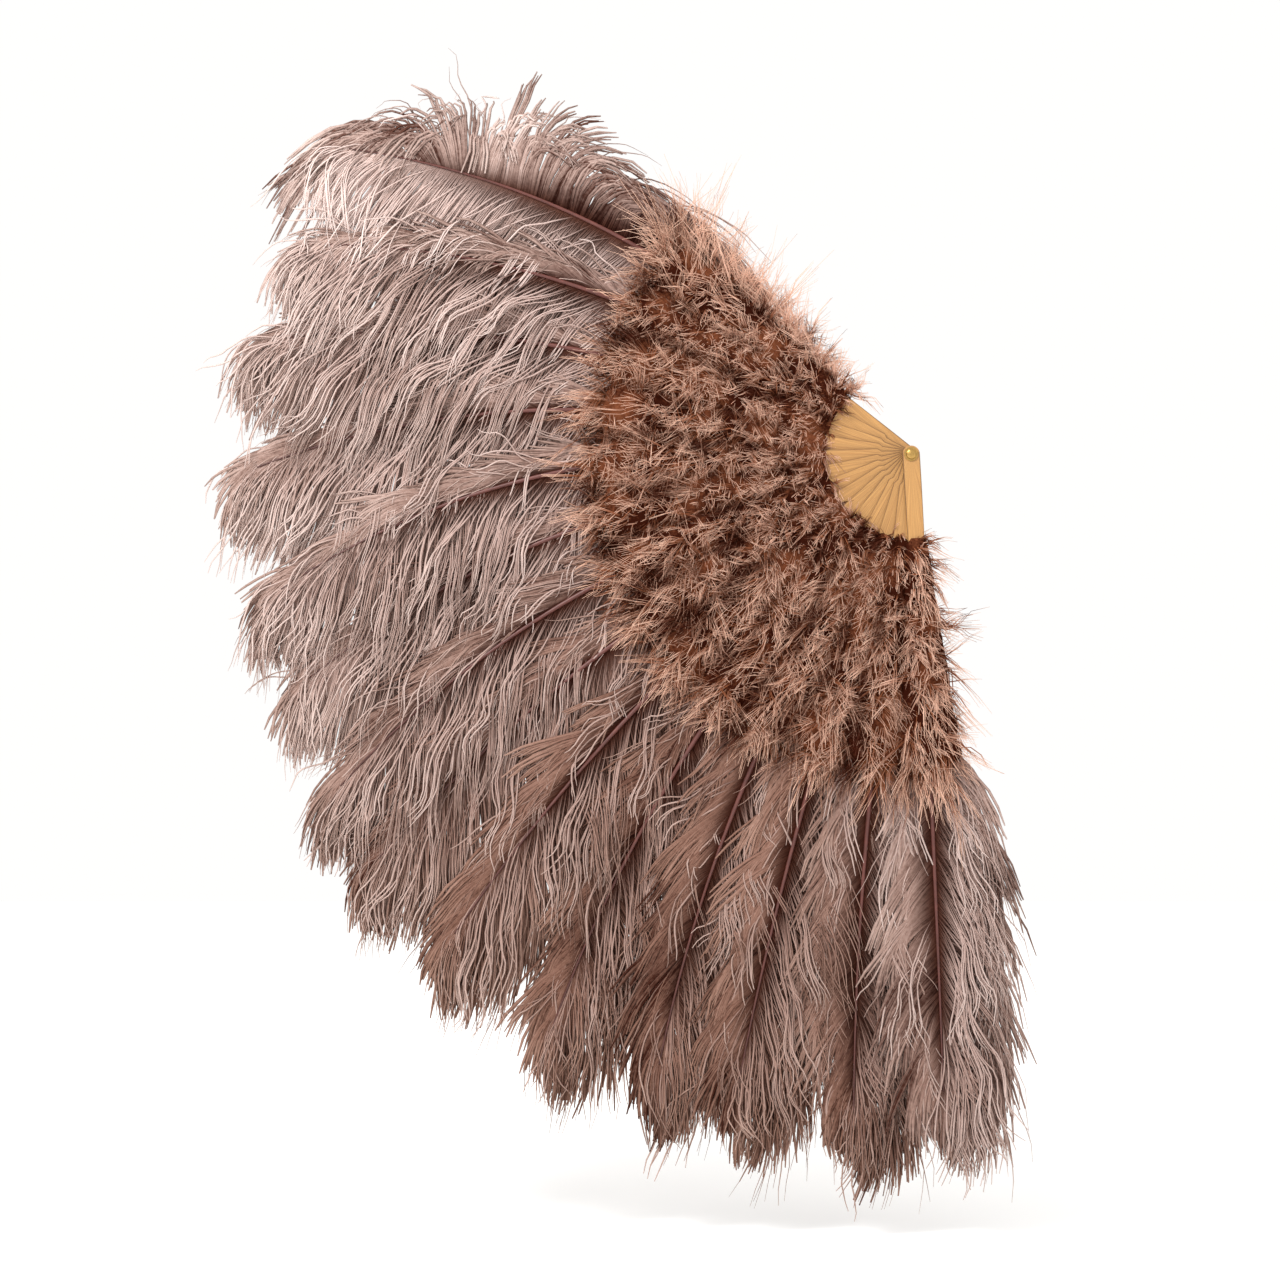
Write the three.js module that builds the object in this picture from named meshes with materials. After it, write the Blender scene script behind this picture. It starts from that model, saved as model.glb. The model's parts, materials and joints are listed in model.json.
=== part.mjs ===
// A large folding feather fan, open. Bamboo staves turn on one rivet. Each stave carries a marabou strip on
// its front and an ostrich plume behind its outer end. A ribbon threaded through slits limits the spread.
// Millimetres, +Z up. The fan lies in the XZ plane and its front faces -Y.
// The origin is on the rivet's axis, halfway through the stack of staves.
import * as THREE from 'three';

// Spread: angles are in degrees from +X towards +Z, as seen from the front
const staveCount = 14;
const rearGuardAngle = 141;
const frontGuardAngle = 273;

// Fit
const clearance = 0.3;        // between pieces that rest on each other
const stackGap = 0.45;        // between staves at the rivet, so that splayed staves turn freely
const pinClearance = 0.35;    // round the rivet

// Staves and guards
const staveThickness = 1.4;
const guardThickness = 3;
const staveReach = 300;       // rivet to the outer end
const staveWidth = 15.6;      // at the shoulder
const staveTipWidth = 12;
const guardExtraWidth = 1.6;
const neckWidth = 10.4;
const headRadius = 7.6;
const shoulderStart = 28;
const shoulderEnd = 32;
const reachPitch = 6;         // distance from stave to stave at the outer end

// Rivet and washers
const rivetRadius = 2.5;
const rivetHeadRadius = 5;
const rivetHeadHeight = 2.2;
const washerRadius = 7;
const washerThickness = 0.8;
const turnedSides = 24;       // facets round the rivet and washers

// Ribbon
const ribbonRadius = 150;     // its middle, from the rivet
const ribbonWidth = 12;
const ribbonThickness = 0.4;
const slitWidth = 1.2;
const slitSpare = 2;          // slit length beyond the ribbon's width

// Plumes
const quillStart = 222;       // where the quill begins, on the stave's back
const quillWidth = 4.4;
const quillThickness = 1.8;
const vaneStart = 285;
const plumeReach = 716;       // rivet to the tip
const hangingLowerWidth = 96;    // the vane's lower half, where a plume points down
const levelLowerWidth = 118;     // and where it is level, so that its barbs hang from it
const hangingUpperWidth = 88;    // the vane's upper half, where a plume points down
const levelUpperWidth = 48;      // and where it is level
const topUpperWidth = 104;       // upper half of the topmost plume, which stands free
const leanSlope = 0.1;           // the vanes lean back towards their lower edges, as shingles do
const leanTipSlope = 0.045;
const leanFullRadius = 400;      // where they lean most
const vaneThickness = 3;
const vaneEdgeThickness = 1.2;
const plumeDroop = 11;        // degrees that a level plume bends down at its tip
const cupDepth = 30;          // how far the tips curl to the front
const lobeCount = 9;          // clumps of barbs along each side of a plume
const lobeDepth = 0.07;
const bendPower = 1.2;        // above 1, a plume bends more towards its tip
const vaneFullness = 1.24;    // makes the vane's widest place reach its full width
const vaneOpening = 0.55;     // below 1, the vane widens fast at its base
const vaneBluntness = 7;      // larger is a blunter tip

// Natural differences between the plumes: extra bend in degrees, and reach in percent of the usual one
const plumeSway = [4, 2, 0, 1, 2, 0, 0, -3, -3, 0, 1, -1, 1, 0];
const plumeReachPercent = [99, 98, 100, 100.5, 99, 98.5, 101, 102, 101, 102.5, 100.5, 99.5, 100, 97];

// Marabou strips
const marabouStart = 78;
const marabouReach = 334;
const marabouInnerHalfWidth = 11;
const marabouHalfWidth = 36;
const marabouThickness = 0.7;  // where it lies between two staves near the rivet
const outerMarabouThickness = 17;  // on the fan's open faces
const marabouSpreadRate = 1.6;     // above 1, a strip reaches its full width before its end
const marabouEndNarrowing = 0.75;  // share of the squared half width that its round end loses
const marabouEndBluntness = 8;
const marabouCrown = 0.8;          // share of the squared thickness that an open face's pad loses at its edge
const notchRamp = 1.5;             // length of the slanted ends of the gap left for the ribbon
const tuftCount = 5;
const tuftDepth = 0.1;

const bamboo = new THREE.MeshStandardMaterial({ color: 0xd9a55a, roughness: 0.5, metalness: 0 });
const brass = new THREE.MeshStandardMaterial({ color: 0xb08d4a, roughness: 0.35, metalness: 1 });
const ostrich = new THREE.MeshStandardMaterial({ color: 0x9a776c, roughness: 0.85, metalness: 0 });
const marabou = new THREE.MeshStandardMaterial({ color: 0x86503a, roughness: 0.9, metalness: 0 });
const satin = new THREE.MeshStandardMaterial({ color: 0x74503f, roughness: 0.4, metalness: 0 });

// Where each layer lies. Stave 0 is the rear guard, at the back, and the last one is the front guard.
const lastStave = staveCount - 1;
const anglePitch = (frontGuardAngle - rearGuardAngle) / lastStave;
const innerPitch = staveThickness + stackGap;
const flare = (reachPitch - innerPitch) / staveReach;

const isGuard = (i) => i === 0 || i === lastStave;
const thicknessOf = (i) => (isGuard(i) ? guardThickness : staveThickness);
const slopeOf = (i) => (lastStave / 2 - i) * flare;

function stackCentre(i) {
  const inner = (lastStave / 2 - i) * innerPitch;
  const guardShift = (guardThickness - staveThickness) / 2;
  if (i === 0) return inner + guardShift;
  if (i === lastStave) return inner - guardShift;
  return inner;
}

// A stave's middle plane at a distance from the rivet. Past the staves, the layers run on side by side.
const layerCentre = (i, radius) => stackCentre(i) + slopeOf(i) * Math.min(radius, marabouReach);
const staveFront = (i, radius) => layerCentre(i, radius) - thicknessOf(i) / 2;
const staveBack = (i, radius) => layerCentre(i, radius) + thicknessOf(i) / 2;

function cup(radius) {
  const share = Math.max(0, radius - staveReach) / (plumeReach - staveReach);
  return -cupDepth * share * share;
}

// How steeply a vane leans back towards its lower edge, at a distance from the rivet
function lean(radius) {
  const begun = THREE.MathUtils.smoothstep(radius, marabouReach, leanFullRadius);
  const eased = THREE.MathUtils.smoothstep(radius, leanFullRadius, plumeReach);
  return begun * THREE.MathUtils.lerp(leanSlope, leanTipSlope, eased);
}

// A closed solid between a front and a back surface, both given at (row, column). Columns run towards +Z as
// rows run towards +X.
function closedSheet(rowCount, columnCount, front, back) {
  const points = [];
  for (const side of [front, back]) {
    for (let row = 0; row < rowCount; row++) {
      for (let column = 0; column < columnCount; column++) points.push(...side(row, column).toArray());
    }
  }
  const backStart = rowCount * columnCount;
  const at = (row, column) => row * columnCount + column;
  const faces = [];
  const quad = (a, b, c, d) => faces.push(a, b, c, a, c, d);
  for (let row = 0; row + 1 < rowCount; row++) {
    for (let column = 0; column + 1 < columnCount; column++) {
      const corners = [at(row, column), at(row + 1, column), at(row + 1, column + 1), at(row, column + 1)];
      quad(...corners);
      quad(...corners.map((corner) => corner + backStart).reverse());
    }
  }
  const rim = [];
  for (let column = 0; column < columnCount; column++) rim.push(at(0, column));
  for (let row = 1; row < rowCount; row++) rim.push(at(row, columnCount - 1));
  for (let column = columnCount - 2; column >= 0; column--) rim.push(at(rowCount - 1, column));
  for (let row = rowCount - 2; row > 0; row--) rim.push(at(row, 0));
  rim.forEach((here, k) => {
    const next = rim[(k + 1) % rim.length];
    quad(here, next, next + backStart, here + backStart);
  });
  const geometry = new THREE.BufferGeometry();
  geometry.setAttribute('position', new THREE.Float32BufferAttribute(points, 3));
  geometry.setIndex(faces);
  geometry.computeVertexNormals();
  return geometry;
}

function named(name, geometry, material) {
  const mesh = new THREE.Mesh(geometry, material);
  mesh.name = name;
  return mesh;
}

// One bamboo stave, along +X: a round head on the rivet, a neck, a shoulder and a long blade. The ribbon
// passes through a slit in each blade between the guards, and its ends are fixed to the guards' inner faces.
function staveGeometry(i) {
  const extra = isGuard(i) ? guardExtraWidth / 2 : 0;
  const neck = isGuard(i) ? staveWidth / 2 + extra : neckWidth / 2;
  const shoulder = staveWidth / 2 + extra;
  const tip = staveTipWidth / 2 + extra;
  const head = isGuard(i) ? shoulder : headRadius;
  const neckAngle = Math.asin(neck / head);
  const outline = new THREE.Shape();
  outline.moveTo(shoulderStart, -neck);
  outline.lineTo(shoulderEnd, -shoulder);
  outline.lineTo(staveReach - tip, -tip);
  outline.absarc(staveReach - tip, 0, tip, -Math.PI / 2, Math.PI / 2, false);
  outline.lineTo(shoulderEnd, shoulder);
  outline.lineTo(shoulderStart, neck);
  outline.absarc(0, 0, head, neckAngle, 2 * Math.PI - neckAngle, false);
  outline.closePath();

  const pinHole = new THREE.Path();
  pinHole.absarc(0, 0, rivetRadius + pinClearance, 0, 2 * Math.PI, true);
  const slitHalfLength = (ribbonWidth + slitSpare) / 2;
  const slit = new THREE.Path();
  slit.moveTo(ribbonRadius - slitHalfLength, -slitWidth / 2);
  slit.lineTo(ribbonRadius - slitHalfLength, slitWidth / 2);
  slit.lineTo(ribbonRadius + slitHalfLength, slitWidth / 2);
  slit.lineTo(ribbonRadius + slitHalfLength, -slitWidth / 2);
  slit.closePath();
  outline.holes.push(pinHole);
  if (!isGuard(i)) outline.holes.push(slit);

  const depth = thicknessOf(i);
  const curveSegments = 8;
  const geometry = new THREE.ExtrudeGeometry(outline, { depth, bevelEnabled: false, curveSegments });
  geometry.rotateX(Math.PI / 2);
  geometry.translate(0, depth / 2, 0);
  return geometry;
}

// One ostrich plume: a quill on the stave's back, then a broad vane with a ridge, a round end and clumped
// edges. Barbs hang down, so a level plume's vane is wider below its quill than above it.
function plumeGeometry(i) {
  const angle = THREE.MathUtils.degToRad(rearGuardAngle + anglePitch * i);
  const bend = THREE.MathUtils.degToRad(plumeSway[i] - plumeDroop * Math.cos(angle));
  const reach = (plumeReach * plumeReachPercent[i]) / 100;
  const vaneRows = 2 * lobeCount + 1;
  const radii = [quillStart, vaneStart];
  for (let k = 1; k <= vaneRows; k++) radii.push(vaneStart + ((reach - vaneStart) * k) / vaneRows);

  const centre = (radius) => {
    const share = Math.max(0, radius - staveReach) / (reach - staveReach);
    const turn = bend * share ** bendPower;
    return new THREE.Vector2(radius * Math.cos(turn), radius * Math.sin(turn));
  };
  const level = Math.abs(Math.cos(angle));
  const lowerWidth = THREE.MathUtils.lerp(hangingLowerWidth, levelLowerWidth, level);
  const upperWidth = i === 0 ? topUpperWidth : THREE.MathUtils.lerp(hangingUpperWidth, levelUpperWidth, level);
  const edgeOffset = (row, fullWidth) => {
    const share = THREE.MathUtils.clamp((radii[row] - vaneStart) / (reach - vaneStart), 0, 1);
    const lobe = row % 2 ? 1 - lobeDepth : 1 + lobeDepth;
    const full = vaneFullness * (share * (1 - share ** vaneBluntness)) ** vaneOpening;
    return Math.max(quillWidth / 2, fullWidth * full * lobe);
  };
  const across = [-1, -0.55, 0, 0.55, 1];
  const surface = (side) => (row, column) => {
    const radius = radii[row];
    const ahead = centre(radius + quillWidth).sub(centre(radius)).normalize();
    const offset = across[column] * edgeOffset(row, across[column] < 0 ? upperWidth : lowerWidth);
    const spot = centre(radius).add(new THREE.Vector2(-ahead.y, ahead.x).multiplyScalar(offset));
    const amongStaves = radius <= marabouReach;
    const middle = amongStaves ? quillThickness : vaneThickness;
    const edge = radius <= vaneStart ? quillThickness : vaneEdgeThickness;
    const thickness = THREE.MathUtils.lerp(middle, edge, Math.abs(across[column]));
    const distance = spot.length();
    const middleDepth = staveBack(i, distance) + clearance + quillThickness / 2 + cup(distance);
    return new THREE.Vector3(spot.x, middleDepth + lean(distance) * offset + (side * thickness) / 2, spot.y);
  };
  return closedSheet(radii.length, across.length, surface(-1), surface(1));
}

// One marabou strip. side is -1 on a stave's front, and 1 on its back, over the quill. The edge towards the
// next stave is cut back where the ribbon leaves the slit.
function marabouGeometry(i, side, fullThickness) {
  const notchHalf = ribbonWidth / 2 + slitSpare;
  const tuftRows = 2 * tuftCount;
  const radii = [];
  for (let k = 0; k <= tuftRows; k++) {
    radii.push(marabouStart + ((marabouReach - marabouStart) * k) / tuftRows);
  }
  const notchRadii = [-notchHalf - notchRamp, -notchHalf, notchHalf, notchHalf + notchRamp];
  const kept = radii.filter((radius) => Math.abs(radius - ribbonRadius) > notchHalf + 2 * notchRamp);
  const rows = [...kept, ...notchRadii.map((offset) => ribbonRadius + offset)].sort((a, b) => a - b);

  const halfWidth = (radius) => {
    const share = (radius - marabouStart) / (marabouReach - marabouStart);
    const opened = Math.min(1, marabouSpreadRate * share);
    const spread = THREE.MathUtils.lerp(marabouInnerHalfWidth, marabouHalfWidth, opened);
    const tuft = 1 + tuftDepth * Math.cos(Math.PI * share * tuftRows);
    const roundEnd = Math.sqrt(1 - marabouEndNarrowing * share ** marabouEndBluntness);
    return spread * tuft * roundEnd;
  };
  const across = [-1, -0.5, 0, 0.5, 1];
  const thickness = (radius, share) => {
    const room = marabouThickness + Math.max(0, radius - quillStart + clearance) * flare;
    const crown = Math.sqrt(1 - marabouCrown * share * share);
    return fullThickness ? fullThickness * crown : room;
  };
  const surface = (far) => (row, column) => {
    const radius = rows[row];
    const full = halfWidth(radius);
    const inNotch = Math.abs(radius - ribbonRadius) < notchHalf + clearance;
    const high = inNotch && side < 0 && i < lastStave ? -slitWidth : full;
    const offset = THREE.MathUtils.mapLinear(across[column], -1, 1, -full, high);
    const overQuill = clearance + quillThickness + clearance;
    const seat = side < 0 ? staveFront(i, radius) - clearance : staveBack(i, radius) + overQuill;
    const depth = seat + (far ? side * thickness(radius, across[column]) : 0);
    return new THREE.Vector3(radius, depth, offset);
  };
  return closedSheet(rows.length, across.length, surface(side < 0), surface(side > 0));
}

// The stretch of ribbon from the slit in the stave behind to the slit in stave i
function ribbonGeometry(i) {
  const steps = 4;
  const columns = [ribbonRadius - ribbonWidth / 2, ribbonRadius + ribbonWidth / 2];
  const inset = clearance + ribbonThickness / 2;
  const surface = (side) => (row, column) => {
    const radius = columns[column];
    const share = row / steps;
    const turn = THREE.MathUtils.degToRad(anglePitch) * (share - 1);
    const leave = staveFront(i - 1, radius) - inset;
    const arrive = staveBack(i, radius) + inset;
    const depth = THREE.MathUtils.lerp(leave, arrive, share) + (side * ribbonThickness) / 2;
    return new THREE.Vector3(radius * Math.cos(turn), depth, radius * Math.sin(turn));
  };
  return closedSheet(steps + 1, columns.length, surface(1), surface(-1));
}

// The rivet: a shank with a domed head at each end, turned about Y
function rivetGeometry() {
  const tilt = slopeOf(0) * rivetHeadRadius;
  const seat = stackCentre(0) + guardThickness / 2 + clearance + washerThickness + clearance + tilt;
  const dome = [];
  const domeSteps = 4;
  for (let k = 0; k <= domeSteps; k++) {
    const turn = (Math.PI / 2) * (k / domeSteps);
    dome.push([rivetHeadRadius * Math.cos(turn), seat + rivetHeadHeight * Math.sin(turn)]);
  }
  dome[domeSteps][0] = 0;
  const half = [[rivetRadius, seat], ...dome];
  const front = half.map(([radius, height]) => new THREE.Vector2(radius, -height)).reverse();
  const rear = half.map(([radius, height]) => new THREE.Vector2(radius, height));
  return new THREE.LatheGeometry([...front, ...rear], turnedSides);
}

// A flat ring round the rivet, turned about Y
function washerGeometry() {
  const inner = rivetRadius + pinClearance;
  const half = washerThickness / 2;
  const section = new THREE.Path();
  section.moveTo(inner, -half);
  section.lineTo(washerRadius, -half);
  section.lineTo(washerRadius, half);
  section.lineTo(inner, half);
  section.closePath();
  return new THREE.LatheGeometry(section.getPoints(), turnedSides);
}

// Everything that turns with one stave
function staveAssembly(i) {
  const number = String(i + 1).padStart(2, '0');
  const group = new THREE.Group();
  group.rotation.y = -THREE.MathUtils.degToRad(rearGuardAngle + anglePitch * i);

  const splayed = new THREE.Group();
  splayed.position.y = stackCentre(i);
  splayed.rotation.z = Math.atan(slopeOf(i));
  const guardName = i === 0 ? 'rear_guard' : 'front_guard';
  splayed.add(named(isGuard(i) ? guardName : `stave_${number}`, staveGeometry(i), bamboo));
  if (isGuard(i)) {
    const washer = named(i === 0 ? 'rear_washer' : 'front_washer', washerGeometry(), brass);
    washer.position.y = (i === 0 ? 1 : -1) * (guardThickness / 2 + clearance + washerThickness / 2);
    splayed.add(washer);
  }
  group.add(splayed);

  group.add(named(`plume_${number}`, plumeGeometry(i), ostrich));
  const frontThickness = i === lastStave ? outerMarabouThickness : 0;
  group.add(named(`marabou_${number}`, marabouGeometry(i, -1, frontThickness), marabou));
  if (i === 0) group.add(named('marabou_rear', marabouGeometry(i, 1, outerMarabouThickness), marabou));
  if (i > 0) group.add(named(`ribbon_link_${String(i).padStart(2, '0')}`, ribbonGeometry(i), satin));
  return group;
}

const fan = new THREE.Group();
fan.name = 'feather_fan';
for (let i = 0; i < staveCount; i++) fan.add(staveAssembly(i));
fan.add(named('pivot_rivet', rivetGeometry(), brass));

export default fan;
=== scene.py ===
"""Dresses a folding feather fan: bamboo staves, ostrich plumes, marabou strips, a ribbon and a rivet."""

import json
import math

import bpy
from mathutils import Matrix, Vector


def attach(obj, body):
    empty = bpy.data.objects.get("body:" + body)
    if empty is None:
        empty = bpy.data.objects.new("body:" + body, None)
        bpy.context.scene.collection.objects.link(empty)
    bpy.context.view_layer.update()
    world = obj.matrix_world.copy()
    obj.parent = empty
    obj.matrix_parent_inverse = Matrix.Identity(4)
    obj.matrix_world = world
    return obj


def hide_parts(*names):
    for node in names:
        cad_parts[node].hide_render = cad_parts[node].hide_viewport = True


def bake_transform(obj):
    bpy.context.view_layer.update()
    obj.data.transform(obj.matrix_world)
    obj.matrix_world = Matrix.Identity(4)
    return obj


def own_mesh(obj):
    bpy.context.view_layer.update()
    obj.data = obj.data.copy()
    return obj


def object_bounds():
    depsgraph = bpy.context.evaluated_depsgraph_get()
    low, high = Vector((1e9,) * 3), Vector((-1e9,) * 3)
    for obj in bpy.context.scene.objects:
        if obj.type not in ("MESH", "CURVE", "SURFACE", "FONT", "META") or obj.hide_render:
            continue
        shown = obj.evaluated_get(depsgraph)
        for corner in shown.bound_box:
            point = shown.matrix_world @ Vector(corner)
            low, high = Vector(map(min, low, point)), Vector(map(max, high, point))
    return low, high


bl_info = {
    "name": "Feather Fan",
    "version": (1, 0, 0),
    "blender": (4, 5, 0),
    "location": "3D View > Sidebar > Feather Fan",
    "description": "Makes the feathers, ribbon, finishes and stage of a folding feather fan",
    "category": "Object",
}

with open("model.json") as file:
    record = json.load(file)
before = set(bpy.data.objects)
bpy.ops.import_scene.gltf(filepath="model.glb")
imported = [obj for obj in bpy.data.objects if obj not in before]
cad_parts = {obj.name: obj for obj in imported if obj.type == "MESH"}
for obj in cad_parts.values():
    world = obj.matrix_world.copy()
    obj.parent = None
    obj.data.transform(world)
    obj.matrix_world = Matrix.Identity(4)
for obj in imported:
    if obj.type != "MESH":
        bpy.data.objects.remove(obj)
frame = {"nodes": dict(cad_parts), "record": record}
CAD_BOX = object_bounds()
FULL_TURN = 2 * math.pi
FORWARD = (0, -1, 0)
DOWN = (0, 0, -1)
DEPTH_AXIS = (0, 1, 0)
FAN_PLANE = (1, 0, 1)          # a place times this has no depth

CLEARANCE = 0.0003
QUILL_THICKNESS = 0.0018
FLARE_END = 0.334              # past the staves, the layers of plumes run on side by side
BEND_POWER = 1.2               # above 1, a plume bends most near its tip
TAPER_POWER = 0.8              # below 1, a quill tapers quickest near its cut end
GOLDEN_STEP = 0.618            # turns from each tuft to the next, so that they never line up
SEED_STEP = 100                # keeps the random growth of neighbours apart

# Differences between the plumes, from the top one on: natural extra bend in degrees, natural reach in
# percent of the usual one, painted shade that browns and darkens a plume, most on the lower ones, and how
# far its loose barbs naturally hang to the front
PLUME_SWAY = (4, 2, 0, 1, 2, 0, 0, -3, -3, 0, 1, -1, 1, 0)
PLUME_REACH_PERCENT = (99, 98, 100, 100.5, 99, 98.5, 101, 102, 101, 102.5, 100.5, 99.5, 100, 97)
PLUME_PAINTED_SHADE = (0, 0.3, 0.42, 0.44, 0.5, 0.56, 0.68, 0.84, 0.96, 1.0, 1.0, 1.0, 0.75, 0.4)
PLUME_HANG = (0.5, 1.0, 1.0, 0.45, 1.0, 0.4, 1.0, 0.4, 0.9, 0.5, 0.6, 0.8, 0.6, 0.5)

# How barbs grow on a plume that hangs straight down, and on a level one. The four shares are of the counts
# and lengths in the settings.
PLUME_HABIT = {
    "string_share": (0.45, 1.0),
    "rope_share": (1.5, 0.8),
    "lower_share": (1.2, 1.0),
    "upper_share": (0.88, 0.88),
    "upper_base": (math.radians(52), math.radians(22)),
    "upper_limpness": (1.1, 0.5),
    "lower_limpness": (1.15, 0.45),
    "tip_droop": (0.2, 2.4),
    "tip_length": (0.42, 0.62),
    "tip_shade": (0.34, 0.0),
    "upper_shade": (0.0, 0.15),
    "light": (0.04, 0.04),
    "flop": (0.0, 0.0),
}
# What is different on the top plume, whose upper barbs rise and then flop over both ways. Its higher light
# is painted light, as the top of the fan is lit most
TOP_PLUME_HABIT = {
    "rope_share": 0.3, "upper_share": 1.2, "upper_base": math.radians(82), "upper_limpness": 0.4,
    "tip_shade": 0.0, "upper_shade": 0.6, "light": 0.32, "flop": 1.0,
}


def length(name, description, default):
    """A size in metres that a user can change."""
    return bpy.props.FloatProperty(
        name=name, description=description, default=default, unit="LENGTH", precision=4
    )


def angle(name, description, degrees):
    """An angle that a user can change."""
    return bpy.props.FloatProperty(
        name=name, description=description, default=math.radians(degrees), subtype="ANGLE"
    )


def count(name, description, default):
    """A whole number that a user can change."""
    return bpy.props.IntProperty(name=name, description=description, default=default, min=1)


def colour(name, description, red, green, blue):
    """A colour that a user can change, given as the usual 0 to 255 screen values."""
    linear = [screen_to_linear(value / 255) for value in (red, green, blue)]
    return bpy.props.FloatVectorProperty(
        name=name, description=description, default=linear, size=3, subtype="COLOR", min=0, max=1
    )


def screen_to_linear(value):
    """Turns one screen colour value into the linear value that shaders use."""
    return value / 12.92 if value <= 0.04045 else ((value + 0.055) / 1.055) ** 2.4


class FanPlumeSettings(bpy.types.PropertyGroup):
    """Sizes and colours of the ostrich plumes."""

    quill_start: length("Quill start", "From the rivet to the quill's cut end", 0.222)
    vane_start: length("Vane start", "From the rivet to the lowest barbs", 0.278)
    reach: length("Reach", "From the rivet to the tip of the last barbs", 0.716)
    tip_barbs: length("Tip barbs", "How far the last barbs stand past the quill", 0.066)
    quill_radius: length("Quill radius", "Half the quill's width at its cut end", 0.0032)
    quill_tip_radius: length("Quill tip radius", "Half the quill's width at its fine end", 0.0007)
    droop: angle("Droop", "How far a level plume bends down at its tip", 11)
    cup: length("Cup", "How far the tips curl to the front", 0.030)
    sheet_barbs: count("Sheet barbs", "Barbs of the combed sheet on each plume", 900)
    string_barbs: count("String barbs", "Barbs of the loose strings on each plume", 420)
    rope_barbs: count("Rope barbs", "Barbs of the frizzy ropes on each plume", 140)
    barb_length: length("Barb length", "A barb in the middle of the vane", 0.150)
    barb_radius: length("Barb radius", "Half a barb's width at its widest", 0.0010)
    clumps: count("Clumps", "Loose strings on each side of a plume", 42)
    lean_start: length("Lean start", "Where the vanes begin to lean back, from the rivet", 0.334)
    lean_full: length("Lean full", "Where the vanes lean back most, from the rivet", 0.400)
    # The root colour is darker than the rest as painted shade, deep in the vane next to the quill
    root_colour: colour("Root colour", "Barbs next to the quill", 74, 44, 34)
    middle_colour: colour("Middle colour", "Most of a barb", 180, 157, 149)
    tip_colour: colour("Tip colour", "Loose barb ends", 210, 192, 185)
    quill_colour: colour("Quill colour", "The quill", 104, 56, 48)


class FanMarabouSettings(bpy.types.PropertyGroup):
    """Sizes and colours of the marabou strips."""

    start: length("Start", "From the rivet to the strip's inner end", 0.084)
    reach: length("Reach", "From the rivet to the strip's outer end", 0.318)
    strands: count("Strands", "Strands on each strip", 2300)
    inner_half_width: length("Inner half width", "Half the pad's width at its inner end", 0.0105)
    outer_half_width: length("Outer half width", "Half the pad's width at its outer end", 0.032)
    strand_length: length("Strand length", "An average strand", 0.036)
    strand_radius: length("Strand radius", "Half a strand's width at its root", 0.00046)
    tufts: count("Tufts", "Small feathers in one strip", 42)
    locks: count("Locks", "Curved locks in one small feather", 12)
    # The root colour is dark as painted shade, deep in the crevices of the strip
    root_colour: colour("Root colour", "Deep in the strip", 56, 22, 7)
    middle_colour: colour("Middle colour", "Most of a strand", 130, 78, 53)
    tip_colour: colour("Tip colour", "Strand ends", 222, 182, 160)


class FanStaveSettings(bpy.types.PropertyGroup):
    """Finish of the bamboo and brass, and the ribbon's size and colour."""

    bamboo_colour: colour("Bamboo", "Lacquered bamboo", 190, 142, 82)
    fibre_colour: colour("Fibre", "Darker fibres in the bamboo", 146, 98, 48)
    brass_colour: colour("Brass", "Rivet and washers", 196, 158, 92)
    ribbon_colour: colour("Ribbon", "Satin ribbon", 126, 84, 68)
    ribbon_radius: length("Ribbon radius", "From the rivet to the ribbon's middle", 0.150)
    ribbon_width: length("Ribbon width", "Width of the ribbon", 0.012)
    ribbon_thickness: length("Ribbon thickness", "Thickness of the ribbon", 0.0004)


class FanStageSettings(bpy.types.PropertyGroup):
    """Floor and camera."""

    floor_gap: length("Floor gap", "From the lowest feather to the floor", 0.06)
    floor_size: length("Floor size", "Side of the square floor", 8)
    floor_colour: colour("Floor", "Pale floor", 252, 252, 251)
    view_width: length("View width", "What the picture spans at the fan", 1.28)
    view_distance: length("View distance", "From the camera to the fan", 3.2)
    view_x: length("View centre X", "Middle of the picture, from the rivet", -0.270)
    view_z: length("View centre Z", "Middle of the picture, from the rivet", -0.185)


class FanSettings(bpy.types.PropertyGroup):
    """All the fan's settings."""

    plume: bpy.props.PointerProperty(type=FanPlumeSettings)
    marabou: bpy.props.PointerProperty(type=FanMarabouSettings)
    stave: bpy.props.PointerProperty(type=FanStaveSettings)
    stage: bpy.props.PointerProperty(type=FanStageSettings)


class Stave:
    """One stave as the frame has it: its body, direction, tilt and faces."""

    pin_zone = 0.0035          # everything this close to the axis is the edge of the rivet hole
    tip_zone = 0.0006          # everything this close to the greatest reach is the stave's end
    neck = (0.015, 0.029)      # the narrow stretch between the rivet and the shoulder
    shoulder = (0.028, 0.032)  # where the neck widens to the stave's full width

    def __init__(self, index, body):
        points = [vertex.co for vertex in frame["nodes"][body].data.vertices]
        reaches = [math.hypot(point.x, point.z) for point in points]
        self.reach = max(reaches)
        tip = [point for point, reach in zip(points, reaches) if reach > self.reach - self.tip_zone]
        pin = [point for point, reach in zip(points, reaches) if reach < self.pin_zone]
        tip_middle = sum(tip, Vector()) / len(tip)
        self.index = index
        self.body = body
        self.number = f"{index + 1:02d}"
        self.angle = math.atan2(tip_middle.z, tip_middle.x)
        self.base = sum(point.y for point in pin) / len(pin)
        self.slope = (tip_middle.y - self.base) / math.hypot(tip_middle.x, tip_middle.z)
        self.thickness = max(point.y for point in tip) - min(point.y for point in tip)
        side = self.direction(math.pi / 2)
        offsets = [(point.dot(self.direction()), abs(point.dot(side))) for point in points]
        self.half_width = max(offset for _, offset in offsets)
        start, end = self.neck
        self.neck_half_width = max(offset for along, offset in offsets if start < along < end)

    def middle(self, radius):
        """Depth of the stave's middle plane at a distance from the rivet."""
        return self.base + self.slope * radius

    def direction(self, turn=0.0):
        """Unit vector along the stave, or turned from it in the fan's plane."""
        return Vector((math.cos(self.angle + turn), 0, math.sin(self.angle + turn)))


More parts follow.
